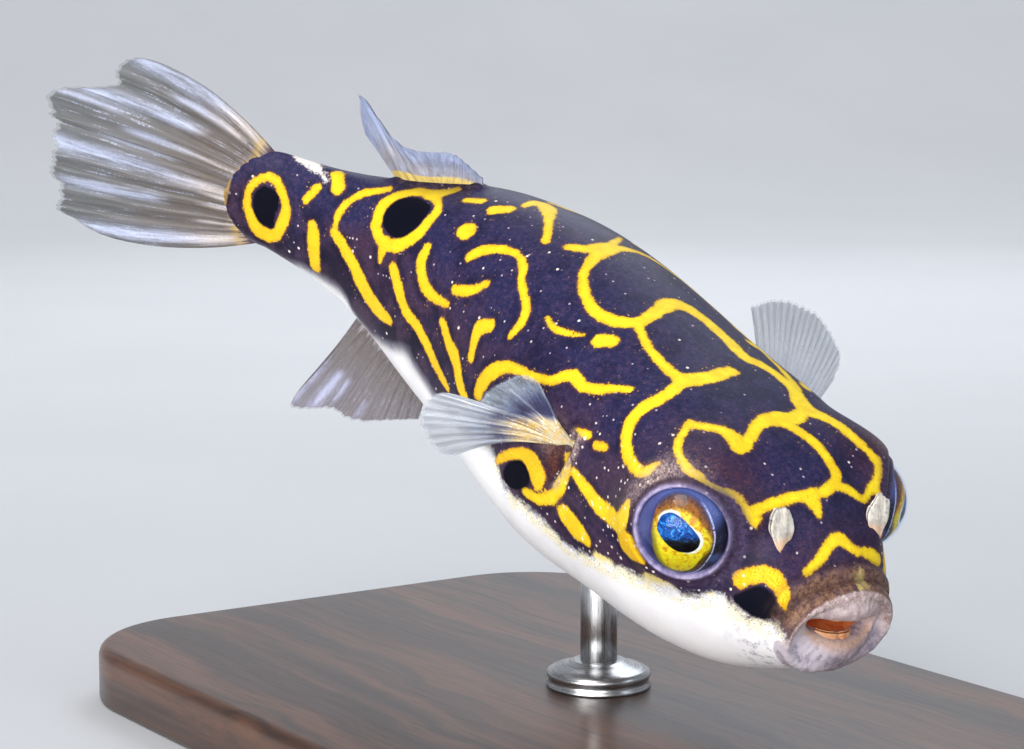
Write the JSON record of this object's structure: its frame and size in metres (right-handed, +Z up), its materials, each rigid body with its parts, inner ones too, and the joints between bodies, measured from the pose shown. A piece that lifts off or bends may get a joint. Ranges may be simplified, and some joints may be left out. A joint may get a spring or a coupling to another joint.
{
  "type": "freshwater pufferfish, figure-eight puffer display model",
  "caption": "Life-size figure-eight pufferfish, nose down with its tail curled aside, held by a short rod on a flat wooden base.",
  "frame": {"origin": "centre of the flat underside of the stand base", "axes": "+X towards the fish's nose along the length of the base, +Y to the fish's left, +Z up"},
  "size_m": [0.072, 0.0443, 0.0445],
  "materials": {
    "skin": "moist satin skin, dark indigo-brown back with a yellow network, white belly",
    "lips": "matte lavender-grey with brown freckles",
    "teeth": "smooth beak plates, tan",
    "eyes": "clear polished cornea over a golden iris and blue-black pupil",
    "nasal_flaps": "matte cream flesh",
    "fins": "thin translucent membrane with pale rays",
    "stand_wood": "satin lacquered dark walnut",
    "stand_metal": "fine brushed"
  },
  "bodies": {
    "root": {"head": "skin", "trunk": "skin", "tail": "skin", "upper_lip": "lips", "lower_lip": "lips", "teeth_upper": "teeth", "teeth_lower": "teeth", "eye_right": "eyes", "eye_left": "eyes", "nasal_flap_right": "nasal_flaps", "nasal_flap_left": "nasal_flaps", "pectoral_fin_right": "fins", "pectoral_fin_left": "fins", "dorsal_fin": "fins", "anal_fin": "fins", "caudal_fin": "fins", "stand_base": "stand_wood", "stand_collar": "stand_metal", "stand_rod": "stand_metal"}
  },
  "joints": []
}
